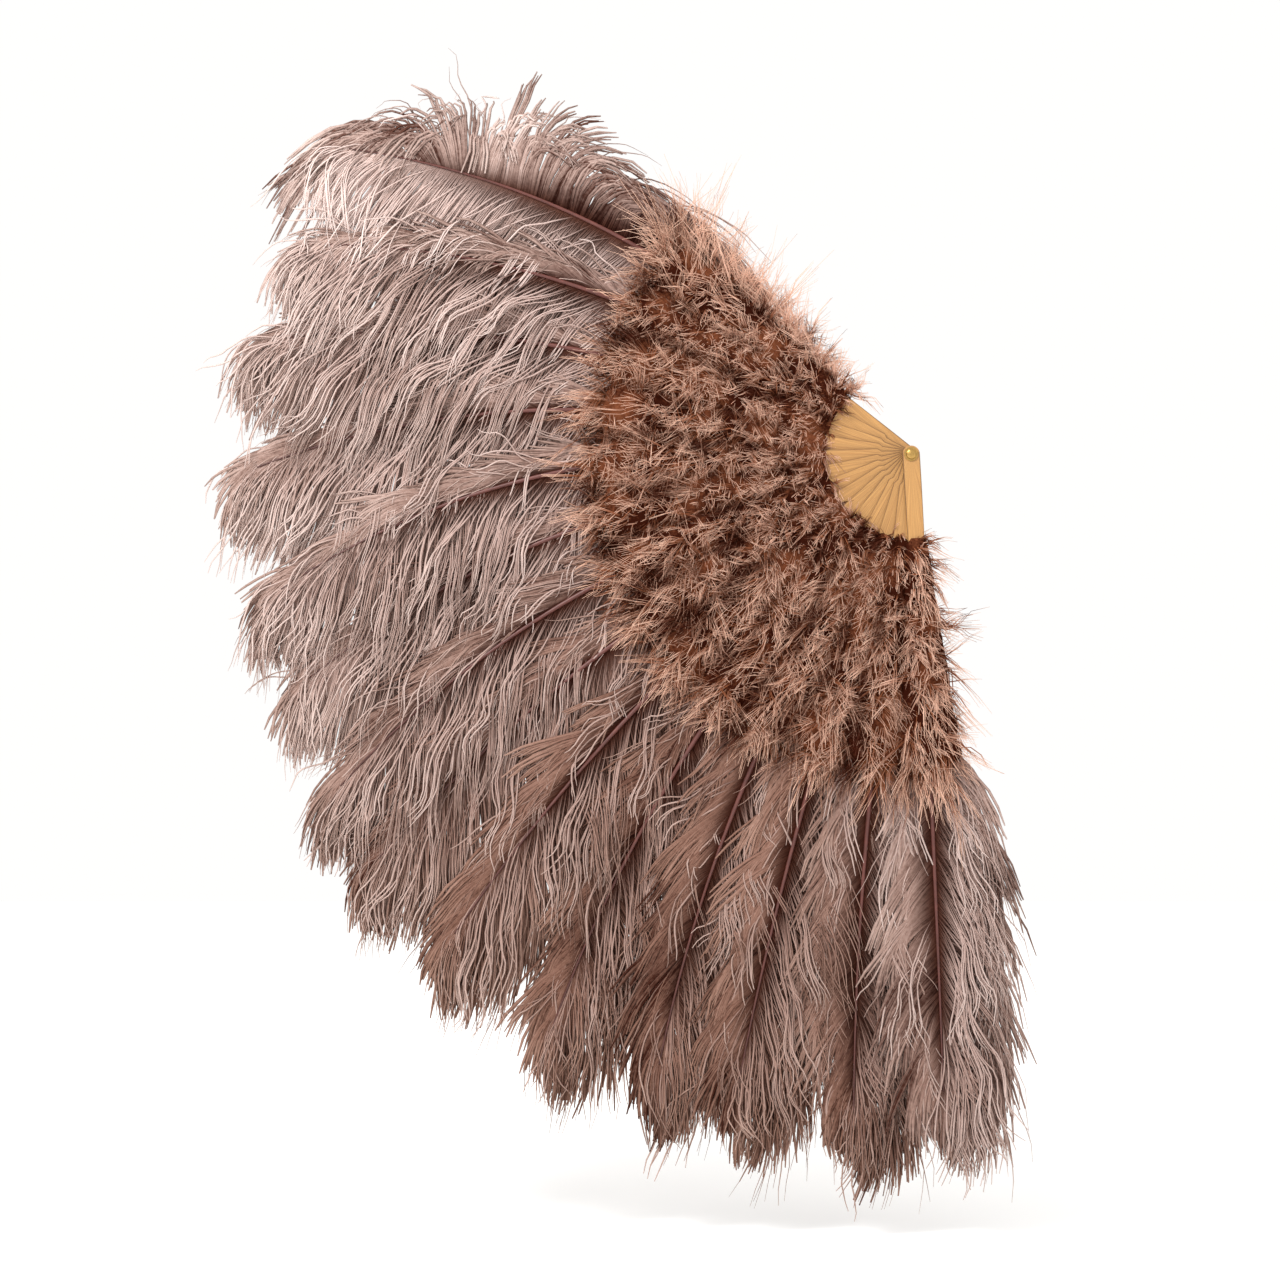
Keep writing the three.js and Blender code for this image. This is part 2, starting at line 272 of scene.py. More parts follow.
STAVES = [Stave(index, body) for index, body in enumerate(frame["record"]["behaviour"]["bodies"])]
STAVE_PITCH = (STAVES[1].angle - STAVES[0].angle) % FULL_TURN


def plume_reach(settings, stave):
    """Distance from the rivet to the tip of a plume's last barbs."""
    return settings.reach * PLUME_REACH_PERCENT[stave.index] / 100


def plume_point(settings, stave, radius):
    """A point on a plume's quill, at a distance from the rivet."""
    beyond = max(0.0, radius - stave.reach) / (plume_reach(settings, stave) - stave.reach)
    bend = math.radians(PLUME_SWAY[stave.index]) - settings.droop * math.cos(stave.angle)
    place = stave.direction(bend * beyond ** BEND_POWER) * radius
    behind = stave.middle(min(radius, FLARE_END)) + stave.thickness / 2 + CLEARANCE + QUILL_THICKNESS / 2
    place.y = behind - settings.cup * beyond ** 2
    return place


def plume_line(settings, stave, start, steps=40):
    """Points along a plume's quill, from a distance to its fine end."""
    end = plume_reach(settings, stave) - settings.tip_barbs
    return [plume_point(settings, stave, start + (end - start) * step / steps) for step in range(steps + 1)]


class Field:
    """A value in a node tree. Ordinary arithmetic on it adds nodes."""

    def __init__(self, tree, socket):
        self.tree = tree
        self.socket = socket

    def join(self, operation, *others):
        """A maths node fed by this value and others."""
        vectors = [value for value in (self, *others) if is_vector(value)]
        node = self.tree.nodes.new("ShaderNodeVectorMath" if vectors else "ShaderNodeMath")
        node.operation = operation
        for socket, value in zip(node.inputs, (self, *others)):
            feed(self.tree, socket, value)
        return Field(self.tree, next(socket for socket in node.outputs if socket.enabled))

    def __add__(self, other):
        return self.join("ADD", other)

    def __sub__(self, other):
        return self.join("SUBTRACT", other)

    def __rsub__(self, other):
        return (self * -1) + other

    def __mul__(self, other):
        return self.join("MULTIPLY", other)

    def __truediv__(self, other):
        return self.join("DIVIDE", other)

    def __pow__(self, other):
        return self.join("POWER", other)

    __radd__ = __add__
    __rmul__ = __mul__


def is_vector(value):
    """Whether a field or a plain value has several parts."""
    return value.socket.type in ("VECTOR", "RGBA") if isinstance(value, Field) else hasattr(value, "__len__")


def feed(tree, socket, value):
    """Links a field to a socket, or sets a plain value on it."""
    if isinstance(value, Field):
        tree.links.new(value.socket, socket)
    elif socket.type == "RGBA":
        socket.default_value = (*value, 1)
    elif socket.type == "VECTOR" and not hasattr(value, "__len__"):
        socket.default_value = (value, value, value)
    else:
        socket.default_value = value


def feed_by_name(tree, node, values):
    """Feeds a node's sockets, which are found by their names."""
    for name, value in values.items():
        wanted = name.replace("_", " ").lower()
        feed(tree, next(s for s in node.inputs if s.enabled and s.name.lower() == wanted), value)


class NodeTree:
    """A node tree, written as a formula."""

    def __init__(self, tree):
        self.tree = tree

    def node(self, kind, output=0, settings=None, **inputs):
        """A node of a kind, with its sockets fed by name. Gives one of its outputs."""
        made = self.tree.nodes.new(kind)
        for name, value in (settings or {}).items():
            setattr(made, name, value)
        feed_by_name(self.tree, made, inputs)
        found = [socket for socket in made.outputs if socket.enabled]
        return Field(self.tree, found[output] if isinstance(output, int) else made.outputs[output])

    def outputs(self, field):
        """All the outputs of the node that a field comes from."""
        return [Field(self.tree, socket) for socket in field.socket.node.outputs]

    def noise(self, vector, scale, detail, **more):
        """Smooth noise between 0 and 1."""
        return self.node("ShaderNodeTexNoise", vector=vector, scale=scale, detail=detail, **more)

    def span(self, value, low, high, start=0.0, end=1.0, kind="LINEAR"):
        """start where value is low, end where it is high, and what lies between."""
        return self.node("ShaderNodeMapRange", settings={"interpolation_type": kind}, value=value,
                         from_min=low, from_max=high, to_min=start, to_max=end)

    def smooth_step(self, value, low, high, end=1.0):
        """0 below low, end above high, and smooth between."""
        return self.span(value, low, high, end=end, kind="SMOOTHSTEP")

    def place(self):
        """Where a point of the surface is."""
        return self.node("ShaderNodeTexCoord", output="Object")

    def mixed_colour(self, factor, first, second):
        """A mix of two colours by a factor."""
        made = self.tree.nodes.new("ShaderNodeMix")
        made.data_type = "RGBA"
        feed(self.tree, made.inputs["Factor"], factor)
        for name, value in (("A", first), ("B", second)):
            feed(self.tree, next(s for s in made.inputs if s.name == name and s.type == "RGBA"), value)
        return Field(self.tree, next(s for s in made.outputs if s.type == "RGBA"))

    def ramp(self, factor, *shades):
        """Colours at even steps of a factor."""
        made = self.node("ShaderNodeValToRGB", fac=factor)
        elements = made.socket.node.color_ramp.elements
        while len(elements) < len(shades):
            elements.new(0.5)
        for step, (element, shade) in enumerate(zip(elements, shades)):
            element.position = step / (len(shades) - 1)
            element.color = (*shade, 1)
        return made


class GroupTree(NodeTree):
    """A node group with named inputs and one result."""

    kinds = {"shapes": "NodeSocketGeometry", "numbers": "NodeSocketFloat", "counts": "NodeSocketInt",
             "vectors": "NodeSocketVector", "colours": "NodeSocketColor", "materials": "NodeSocketMaterial"}

    def __init__(self, name, tree_kind, result, **inputs):
        super().__init__(bpy.data.node_groups.new(name, tree_kind))
        self.identifiers = {}
        for kind, titles in inputs.items():
            for title in titles.split():
                label = title.replace("_", " ").capitalize()
                made = self.tree.interface.new_socket(label, in_out="INPUT", socket_type=self.kinds[kind])
                self.identifiers[title] = made.identifier
        self.tree.interface.new_socket("Result", in_out="OUTPUT", socket_type=self.kinds[result])
        self.start = self.tree.nodes.new("NodeGroupInput")
        self.end = self.tree.nodes.new("NodeGroupOutput")

    def __getitem__(self, title):
        """One of the group's named inputs."""
        found = next(s for s in self.start.outputs if s.identifier == self.identifiers[title])
        return Field(self.tree, found)

    def close(self, result):
        """Ends the group with its result."""
        self.tree.links.new(result.socket, self.end.inputs[0])
        return self.tree


class FeatherTree(GroupTree):
    """A geometry node group that grows strands on a line."""

    def __init__(self, name, **inputs):
        super().__init__(name, "GeometryNodeTree", "shapes", shapes="geometry", materials="material",
                         **inputs)

    def random(self, seed, low=0.0, high=1.0, key=None):
        """A random number for each point, or for each value of key."""
        extra = {} if key is None else {"ID": key}
        settings = {"data_type": "FLOAT"}
        return self.node("FunctionNodeRandomValue", settings=settings, min=low, max=high, seed=seed, **extra)

    def random_vector(self, seed, key):
        """A random vector in a cube of side 2, for each value of key."""
        settings = {"data_type": "FLOAT_VECTOR"}
        low, high = (-1, -1, -1), (1, 1, 1)
        return self.node("FunctionNodeRandomValue", settings=settings, min=low, max=high, seed=seed, ID=key)

    def mix(self, low, high, amount):
        """low where amount is 0, high where it is 1."""
        return (high - low) * amount + low

    def along(self):
        """The place along a strand or line, from 0 to 1."""
        return self.node("GeometryNodeSplineParameter", output="Factor")

    def sow(self, line, number):
        """Points along a line. Gives them, the line's direction there, their numbers and places along it."""
        points = self.node("GeometryNodeCurveToPoints", settings={"mode": "COUNT"}, curve=line, count=number)
        index = self.node("GeometryNodeInputIndex")
        return points, self.outputs(points)[1], index, index / (number - 1.0)

    def keep(self, geometry, **fields):
        """Measures fields on a geometry now, so that they can be read after it changes."""
        made = self.tree.nodes.new("GeometryNodeCaptureAttribute")
        made.domain = "POINT"
        self.tree.links.new(geometry.socket, made.inputs[0])
        for title, field in fields.items():
            made.capture_items.new("VECTOR" if is_vector(field) else "FLOAT", title)
            self.tree.links.new(field.socket, made.inputs[title])
        kept = {title: Field(self.tree, made.outputs[title]) for title in fields}
        return Field(self.tree, made.outputs[0]), kept

    def strands(self, points, steps):
        """A short straight strand on each point, ready to be bent."""
        line = self.node("GeometryNodeCurvePrimitiveLine", start=(0, 0, 0), end=(0, 0, 0.01))
        line = self.node("GeometryNodeResampleCurve", curve=line, count=steps)
        placed = self.node("GeometryNodeInstanceOnPoints", points=points, instance=line)
        return self.node("GeometryNodeRealizeInstances", geometry=placed)

    def tubes(self, strands, radius, sides, flatness=1.0, **stored):
        """Closed tubes along strands, round or flat to the front, with named values for their material."""
        kind = {"data_type": "FLOAT", "domain": "POINT"}
        for title, value in stored.items():
            strands = self.node("GeometryNodeStoreNamedAttribute", settings=kind, geometry=strands,
                                name=title, value=value)
        ring = self.node("GeometryNodeCurvePrimitiveCircle", resolution=sides, radius=1.0)
        if flatness != 1.0:
            strands = self.node("GeometryNodeSetCurveNormal", settings={"mode": "FREE"}, curve=strands,
                                normal=FORWARD)
            ring = self.node("GeometryNodeTransform", geometry=ring, scale=(1 / flatness, flatness, 1.0))
        return self.node("GeometryNodeCurveToMesh", curve=strands, profile_curve=ring, scale=radius,
                         fill_caps=True)

    def finish(self, *pieces):
        """Joins the pieces, gives them the group's material and ends the group."""
        joined = self.tree.nodes.new("GeometryNodeJoinGeometry")
        for piece in pieces:
            self.tree.links.new(piece.socket, joined.inputs[0])
        whole = self.node("GeometryNodeSetShadeSmooth", geometry=Field(self.tree, joined.outputs[0]),
                          shade_smooth=True)
        whole = self.node("GeometryNodeRealizeInstances", geometry=whole)
        self.close(self.node("GeometryNodeSetMaterial", geometry=whole, material=self["material"]))
        return self


class Barb:
    """How every barb grows. Distances are in metres, angles in radians, and the rest are shares."""

    clump_jitter = (-0.4, 0.4)      # how far past a clump's edge a barb may still join it
    lean_waves = 7.0                # changes of lean along a quill
    sides_apart = 40.0              # keeps the waves of the two sides from matching
    wave_lean = (0.6, 0.9)          # how far the waves lean, below the quill and above it
    tip_stray = 8.0                 # how much more the last barbs stray
    parting = 0.62                  # where along the quill a flopping side parts
    parting_slope = 3.2
    onward_turn = 0.45              # how much closer to the quill the barbs past the parting lie
    flop_power = 1.3
    own_limpness = (0.6, 1.4)
    clump_limpness = (0.4, 1.5)
    drift = 0.4                     # how far hanging barbs drift to the tip
    onward_drift = 1.4              # how far they do so past the parting of a flopping side
    backward_drift = 3.5            # how far they drift back before it
    back_lean = (0.1, 0.045)        # how steeply a vane leans back near the marabou and at its tip
    first_length = (0.8, 1.0)       # the lowest barbs are shorter
    first_barbs = (0.0, 0.25)
    last_barbs = (0.78, 1.02)
    own_length = (0.88, 1.08)
    beside_quill = 0.0012
    behind_quill = (0, 0.0008, 0)
    gathering = (0.2, 0.9)          # where along the barbs of a clump they come together
    tip_gather = (1.0, 0.4)         # the last barbs gather less
    free_power = 1.6                # above 1, a barb strays most near its end
    wave_height = (0.6, 1.4)
    wave_depth = 0.6                # waves are flatter to the front than to the side
    clump_shape = (1.0, 0.4, 1.0)   # clumps stray more in the fan's plane than to the front
    own_shape = (1.0, 0.5, 1.0)     # single barbs do so too
    clump_lift = (0.6, 1.2)
    first_lift = (0.3, 1.0)         # the lowest barbs lie flatter
    lifted = (0.1, 0.45)
    tip_lift = (1.0, 0.3)           # the last barbs lie flatter too
    thick = (-0.5, 0.3)             # where a barb swells to its full width
    taper_end = 1.2                 # past a barb's end, so that it ends blunt
    own_width = (0.75, 1.25)
    own_tone = 0.4                  # a barb's own tone against that of its clump
    tip_paling = 0.4                # the last barbs are paler


# The three layers of barbs. Lengths are in metres, and the rest are shares and counts. A layer's light is
# painted
# light and shade: the loose strings and ropes are lighter, as if lit in front, and the sheet under them a
# little darker, as in their shade. Its browning share is how much of the plume's painted shade it takes.
SHEET_STYLE = {
    "seed_step": 0.0, "clump_share": 2.6, "upper_every": 2.0, "leave_share": 1.0, "stray": 0.03,
    "length": 0.90, "shortest": 0.88, "longest": 1.06, "steps": 7, "gather": 0.16, "wave": 0.0012,
    "wave_length": 0.08, "clump_lean": 0.0025, "own_lean": 0.0015, "frizz": 0.0004, "lower_lift": 0.002,
    "upper_lift": 0.002, "rise": 0.9, "follow": 1.0, "taper": 0.75, "width": 0.95, "flatness": 1.7,
    "contrast": 0.7, "light": -0.05, "browning": 1.0,
}
STRING_STYLE = {
    "seed_step": 20.0, "clump_share": 1.0, "upper_every": 4.0, "leave_share": 1.0, "stray": 0.045,
    "length": 1.0, "shortest": 0.75, "longest": 1.1, "steps": 12, "gather": 0.62, "wave": 0.0026,
    "wave_length": 0.075, "clump_lean": 0.011, "own_lean": 0.003, "frizz": 0.0005, "lower_lift": 0.017,
    "upper_lift": 0.003, "rise": 0.55, "follow": 0.0, "taper": 0.55, "width": 0.62, "flatness": 1.2,
    "contrast": 1.0, "light": 0.15, "browning": 0.9,
}
ROPE_STYLE = {
    **STRING_STYLE, "seed_step": 40.0, "clump_share": 0.36, "leave_share": 0.6, "stray": 0.10,
    "length": 0.95, "steps": 14, "gather": 0.95, "wave": 0.0055, "clump_lean": 0.022, "own_lean": 0.0022,
    "frizz": 0.0009, "lower_lift": 0.019, "upper_lift": 0.006, "follow": -0.2, "taper": 0.7, "width": 0.8,
    "light": 0.42, "browning": 0.65,
}


def barb_layer(t, quill, barbs, style):
    """One layer of barbs on both sides of a quill. They leave it at an angle, sag, gather and curl."""
    points, tangent, index, place = t.sow(quill, barbs)
    seed = t["seed"] + style["seed_step"]
    position = t.node("GeometryNodeInputPosition")
    upper = index.join("MODULO", style["upper_every"]).join("LESS_THAN", 0.5)
    below = tangent.join("CROSS_PRODUCT", DEPTH_AXIS)
    across = below * (1.0 - upper * 2.0)
    clumps = t["clumps"] * style["clump_share"]
    clump = (place * clumps + t.random(seed, *Barb.clump_jitter)).join("FLOOR")
    clump_key = clump * 2.0 + upper

    flop = ((place - Barb.parting) * Barb.parting_slope).join("MAXIMUM", -1.0).join("MINIMUM", 1.0)
    flop = flop * t["flop"] * upper
    onward = flop.join("MAXIMUM", 0.0)
    backward = flop.join("MINIMUM", 0.0)
    wave_place = place * Barb.lean_waves + seed + upper * Barb.sides_apart
    wave = t.node("ShaderNodeTexNoise", settings={"noise_dimensions": "1D"}, w=wave_place, scale=1.0,
                  detail=1.0)
    stray = t.random(seed + 1, -1.0, 1.0) * style["stray"] * (1.0 + upper + place ** 6.0 * Barb.tip_stray)
    leave_base = t.mix(t["lower_base"], t["upper_base"], upper) * t.mix(style["leave_share"], 1.0, upper)
    leave_tip = t.mix(t["lower_tip"], t["upper_tip"], upper)
    leave = t.mix(leave_base, leave_tip, place ** t["roundness"]) + stray
    leave = leave + (wave - 0.5) * t.mix(*Barb.wave_lean, upper) - onward * Barb.onward_turn
    heading = tangent * leave.join("COSINE") + across * leave.join("SINE")

    own_limpness = t.random(seed + 2, *Barb.own_limpness)
    clump_limpness = t.random(seed + 10, *Barb.clump_limpness, key=clump_key)
    limp = t.mix(t["lower_limpness"], t["upper_limpness"], upper)
    limp = limp * t.mix(own_limpness, clump_limpness, upper)
    limp = limp * (1.0 + place ** 3.0 * t["tip_droop"]) + flop.join("ABSOLUTE") ** Barb.flop_power
    flop_drift = onward * Barb.onward_drift + backward * Barb.backward_drift
    hanging = (tangent * t.mix(Barb.drift, flop_drift, upper * t["flop"]) + DOWN).join("NORMALIZE")

    distance = (position * FAN_PLANE).join("LENGTH")
    lean = t.mix(*Barb.back_lean, t.smooth_step(distance, t["lean_full"], t["reach"]))
    lean = lean * t.smooth_step(distance, t["lean_start"], t["lean_full"])
    size = t.mix(t["lower_length"], t["upper_length"], upper) * style["length"]
    size = size * t.mix(*Barb.first_length, t.smooth_step(place, *Barb.first_barbs))
    size = size * t.mix(1.0, t["tip_length"], t.smooth_step(place, *Barb.last_barbs))
    size = size * t.random(seed + 3, style["shortest"], style["longest"], key=clump_key)
    size = size * t.random(seed + 4, *Barb.own_length)

    points, kept = t.keep(
        points, root=position + across * Barb.beside_quill + Barb.behind_quill, heading=heading,
        tangent=tangent, below=below, upper=upper, place=place, limp=limp, hanging=hanging, lean=lean,
        size=size,
        shift=((clump + 0.5) / clumps - place) * t.node("GeometryNodeCurveLength", curve=quill),
        chance=t.random(seed + 5), wave=t.random(seed + 6, 0.0, FULL_TURN, key=clump_key),
        clump_lean=t.random_vector(seed + 7, key=clump_key), own_lean=t.random_vector(seed + 8, key=index),
        clump_tone=t.random(seed + 9, key=clump_key),
    )
    strands = t.strands(points, style["steps"])
    along = t.along()
    free = along ** Barb.free_power
    late = kept["place"] ** 3.0
    sag = along ** 2.0 * kept["limp"] * 0.5
    bent = kept["root"] + (kept["heading"] * (along - sag) + kept["hanging"] * sag) * kept["size"]
    gather = t.smooth_step(along, *Barb.gathering) * style["gather"] * t.mix(*Barb.tip_gather, late)
    bent = bent + kept["tangent"] * (kept["shift"] * gather)
    bent = bent + kept["clump_lean"] * (free * style["clump_lean"]) * Barb.clump_shape
    bent = bent + kept["own_lean"] * (free * style["own_lean"]) * Barb.own_shape
    bent = bent + t.random_vector(seed + 11, key=t.node("GeometryNodeInputIndex")) * (along * style["frizz"])
    phase = along * kept["size"] * (FULL_TURN / style["wave_length"]) + kept["wave"]
    swing = free * style["wave"] * t.mix(*Barb.wave_height, kept["clump_tone"])
    swing = swing * (1.0 + kept["upper"] * t["flop"])
    bent = bent + kept["heading"].join("CROSS_PRODUCT", DEPTH_AXIS) * (phase.join("SINE") * swing)

    lift = t.mix(style["lower_lift"], style["upper_lift"], kept["upper"])
    lift = lift * t.mix(*Barb.clump_lift, kept["clump_tone"]) * t.smooth_step(along, 0.0, style["rise"])
    lift = lift * t.mix(*Barb.first_lift, t.smooth_step(kept["place"], *Barb.lifted))
    lift = lift * t.mix(*Barb.tip_lift, late)
    lift = phase.join("COSINE") * swing * Barb.wave_depth + lift * t["lift"]
    offset = (bent - kept["root"]).join("DOT_PRODUCT", kept["below"])
    bent = bent + (lift - offset * kept["lean"] * style["follow"]) * FORWARD
    strands = t.node("GeometryNodeSetPosition", geometry=strands, position=bent)

    body = t.smooth_step(along, *Barb.thick) * (1.0 - t.smooth_step(along, style["taper"], Barb.taper_end))
    radius = t["barb_radius"] * body * style["width"] * t.mix(*Barb.own_width, kept["chance"])
    # Painted shade: tip_shade darkens and browns the last barbs of hanging plumes, and each layer takes its
    # share of the plume's painted shade
    shade = kept["place"] ** 2.0 * t["tip_shade"]
    tone = (t.mix(kept["clump_tone"], kept["chance"], Barb.own_tone) - 0.5) * style["contrast"] + 0.5
    tone = tone + style["light"] + t["light"] - kept["upper"] * t["upper_shade"] - shade
    paling = kept["place"] ** 4.0 * (Barb.tip_paling - t["tip_shade"])
    return t.tubes(strands, radius, sides=3, flatness=style["flatness"], tone=tone,
                   brown=shade + t["brown"] * style["browning"], along=along * style["length"] + paling)


def barb_tree():
    """Barbs of one plume: a combed sheet next to the quill, loose strings over it, and thicker ropes."""
    t = FeatherTree(
        "plume_barbs", counts="sheet_barbs string_barbs rope_barbs clumps seed",
        numbers="lower_length upper_length barb_radius lower_base upper_base lower_tip upper_tip roundness "
                "lower_limpness upper_limpness flop lift tip_length tip_droop lean_start lean_full reach "
                "light brown upper_shade tip_shade",
    )
    quill = t.node("GeometryNodeMeshToCurve", mesh=t["geometry"])
    sheet = barb_layer(t, quill, t["sheet_barbs"], SHEET_STYLE)
    strings = barb_layer(t, quill, t["string_barbs"], STRING_STYLE)
    ropes = barb_layer(t, quill, t["rope_barbs"], ROPE_STYLE)
    return t.finish(sheet, strings, ropes)


class Tuft:
    """How every tuft of marabou grows. Distances are in metres, and the rest are shares."""

    jitter = (-0.4, 0.4)            # how far past a tuft's edge a lock may still join it
    gathering = 0.7                 # how near to the middle of its tuft a lock starts
    crowding = 0.85                 # below 1, the tufts move to the wide outer end
    turn_jitter = (-0.12, 0.12)
    inner_tuck = (-1.2, 0.0)        # the first tufts point back to the rivet
    inner_end = (0.0, 0.1)
    outer_sweep = 0.5               # the last tufts sweep over the plumes' roots
    outer_end = (0.8, 1.0)
    outward = (0.0, 0.8)
    least_stray = 0.15
    lock_lean = 0.6
    own_lean = 0.25
    flattening = 0.42               # how far a strand is stroked flat
    root_turn = 0.45                # tufts that point aside also start aside
    aside_jitter = (-0.1, 0.1)
    root_jitter = 0.002
    inner_length = (0.6, 1.1)       # strands near the rivet are shorter
    full_length = (0.0, 0.7)
    tuft_length = (0.8, 1.2)
    lock_length = (0.7, 1.1)
    own_length = (0.6, 1.15)
    bend = 0.3                      # how far strands follow their tuft's and lock's own lean
    outward_bend = 0.2
    kink_waves = 0.85
    kink_height = 0.16
    sag = 0.2
    highest = 0.034                 # no strand rises further from the pad than this
    taper = (1.0, 0.35)
    own_width = (0.75, 1.25)
    own_tone = 0.35
    lock_tone = 0.5
    tuft_tone = 0.7
    crest_tone = 0.9                # painted light: tufts that point to the front are lighter, as if lit, and those that point aside darker, as painted shade
    base_tone = -0.66
    row_tone = 0.7                  # painted shade: furrows between the rows on neighbouring staves are darker
    row_wander = 0.9


def marabou_tree():
    """Soft strands in tufts along a stave, over a downy pad that is dark as painted shade between them."""
    t = FeatherTree(
        "marabou_tufts", counts="strands tufts locks seed", vectors="front",
        numbers="strand_length strand_radius inner_half_width outer_half_width lean scatter aside "
                "light pale",
    )
    line = t.node("GeometryNodeMeshToCurve", mesh=t["geometry"])
    points, tangent, index, place = t.sow(line, t["strands"])
    seed = t["seed"]
    front = t["front"]
    across = tangent.join("CROSS_PRODUCT", front)

    locks = t["tufts"] * t["locks"]
    lock = (place * locks).join("FLOOR")
    lock_place = (lock + 0.5) / locks
    tuft = (lock_place * t["tufts"] + t.random(seed, *Tuft.jitter, key=lock)).join("FLOOR")
    spread = t.mix(lock_place, (tuft + 0.5) / t["tufts"], Tuft.gathering) ** Tuft.crowding
    turn = (tuft * GOLDEN_STEP + t.random(seed + 1, *Tuft.turn_jitter, key=tuft)).join("FRACT") * 2.0 - 1.0
    swing = turn * t["scatter"] + t["lean"]
    outward = t.mix(*Tuft.inner_tuck, t.smooth_step(spread, *Tuft.inner_end))
    outward = outward + t.smooth_step(spread, *Tuft.outer_end) * Tuft.outer_sweep
    outward = outward + t.random(seed + 2, *Tuft.outward, key=tuft)
    aim = front * swing.join("COSINE") + across * swing.join("SINE") + tangent * outward
    lock_lean = t.random_vector(seed + 3, key=lock)
    own_lean = t.random_vector(seed + 11, key=index) * (t.random(seed + 14) ** 2.0 + Tuft.least_stray)
    heading = (aim + lock_lean * Tuft.lock_lean + own_lean * Tuft.own_lean).join("NORMALIZE")
    heading = heading - front * (heading.join("DOT_PRODUCT", front) * Tuft.flattening)

    strip_length = t.node("GeometryNodeCurveLength", curve=line)
    middle = t.node("GeometryNodeInputPosition") + tangent * ((spread - place) * strip_length)
    half_width = t.mix(t["inner_half_width"], t["outer_half_width"], spread)
    root = middle + across * ((swing - t["lean"]).join("SINE") * half_width * Tuft.root_turn)
    aside = (lock * GOLDEN_STEP + t.random(seed + 10, *Tuft.aside_jitter, key=lock)).join("FRACT") - 0.5
    root = root + across * (aside * half_width + t["aside"]) + own_lean * Tuft.root_jitter
    size = t["strand_length"] * t.mix(*Tuft.inner_length, t.smooth_step(spread, *Tuft.full_length))
    size = size * t.random(seed + 4, *Tuft.tuft_length, key=tuft)
    size = size * t.random(seed + 5, *Tuft.lock_length, key=lock)
    size = size * t.random(seed + 12, *Tuft.own_length)

    points, kept = t.keep(
        points, root=root, middle=middle, heading=heading, tangent=tangent, across=across, size=size,
        lock_lean=lock_lean, tuft_lean=t.random_vector(seed + 8, key=tuft), crest=swing.join("COSINE"),
        kink=t.random_vector(seed + 9, key=lock), chance=t.random(seed + 6),
        tuft_tone=t.random(seed + 7, key=tuft), lock_tone=t.random(seed + 13, key=lock),
    )
    strands = t.strands(points, steps=5)
    along = t.along()
    free = along ** 2.0 * kept["size"]
    bent = kept["root"] + kept["heading"] * (kept["size"] * along)
    bend = (kept["tuft_lean"] + kept["lock_lean"]) * Tuft.bend + kept["tangent"] * Tuft.outward_bend
    bent = bent + bend * free
    kink = (along * (FULL_TURN * Tuft.kink_waves)).join("SINE") * Tuft.kink_height
    bent = bent + kept["kink"] * (kept["size"] * kink)
    bent = bent + (free * Tuft.sag) * DOWN
    rise = (bent - kept["root"]).join("DOT_PRODUCT", front)
    bent = bent + front * ((rise / Tuft.highest).join("TANH") * Tuft.highest - rise)
    strands = t.node("GeometryNodeSetPosition", geometry=strands, position=bent)

    radius = t["strand_radius"] * t.mix(*Tuft.taper, along) * t.mix(*Tuft.own_width, kept["chance"])
    tone = kept["chance"] * Tuft.own_tone + kept["lock_tone"] * Tuft.lock_tone
    tone = tone + kept["tuft_tone"] * Tuft.tuft_tone + kept["crest"] * Tuft.crest_tone + Tuft.base_tone
    # Painted shade: the furrows between the rows on neighbouring staves are darker
    pitch = (bent * FAN_PLANE).join("LENGTH") * STAVE_PITCH
    wander = t.noise(bent, scale=18.0, detail=1.0) - 0.5
    row = (bent - kept["middle"]).join("DOT_PRODUCT", kept["across"]) / pitch + wander * Tuft.row_wander
    # Light and pale, here and below, paint backlight on the strips that lean over the fan's edges
    tone = tone + t["light"] + (row * FULL_TURN).join("COSINE") * Tuft.row_tone
    tufts = t.tubes(strands, radius, sides=3, along=along + t["pale"], tone=tone, brown=0.0)
    return t.finish(tufts, down_pad(t, line, front))


class Pad:
    """How the down under the tufts lies, in shares. Its dark colour is painted shade where it shows between
    the strands.
    """

    inner_end = (-0.03, 0.03)
    outer_end = (0.93, 1.02)
    swelling = (0.1, 0.6)           # how far the hollows and the lumps swell to the front
    edge = (0.82, 1.18)             # how far they reach to the side
    strand_place = 0.25             # the pad has a strand's dark colour near its root, as painted shade


def down_pad(t, line, front):
    """A lumpy pad of down, dark as painted shade where it shows between the strands, flat on the stave and
    swelling to its front.
    """
    line = t.node("GeometryNodeResampleCurve", curve=line, count=48)
    line, kept = t.keep(line, middle=t.node("GeometryNodeInputPosition"))
    along = t.along()
    ends = t.smooth_step(along, *Pad.inner_end) * (1.0 - t.smooth_step(along, *Pad.outer_end))
    half_width = t.mix(t["inner_half_width"], t["outer_half_width"], along) * ends
    pad = t.tubes(line, half_width, sides=16, along=Pad.strand_place, tone=0.0)
    position = t.node("GeometryNodeInputPosition")
    offset = position - kept["middle"]
    rise = offset.join("DOT_PRODUCT", front)
    lumps = t.noise(position, scale=70.0, detail=3.0)
    swell = front * (rise.join("MAXIMUM", 0.0) * t.mix(*Pad.swelling, lumps))
    flat = (offset - front * rise) * t.mix(*Pad.edge, lumps)
    return t.node("GeometryNodeSetPosition", geometry=pad, position=kept["middle"] + flat + swell)


def quill_tree():
    """A quill that tapers along its line."""
    t = FeatherTree("plume_quill", numbers="root_radius tip_radius")
    line = t.node("GeometryNodeMeshToCurve", mesh=t["geometry"])
    along = t.along()
    radius = t.mix(t["root_radius"], t["tip_radius"], along ** TAPER_POWER)
    return t.finish(t.tubes(line, radius, sides=8, along=along))


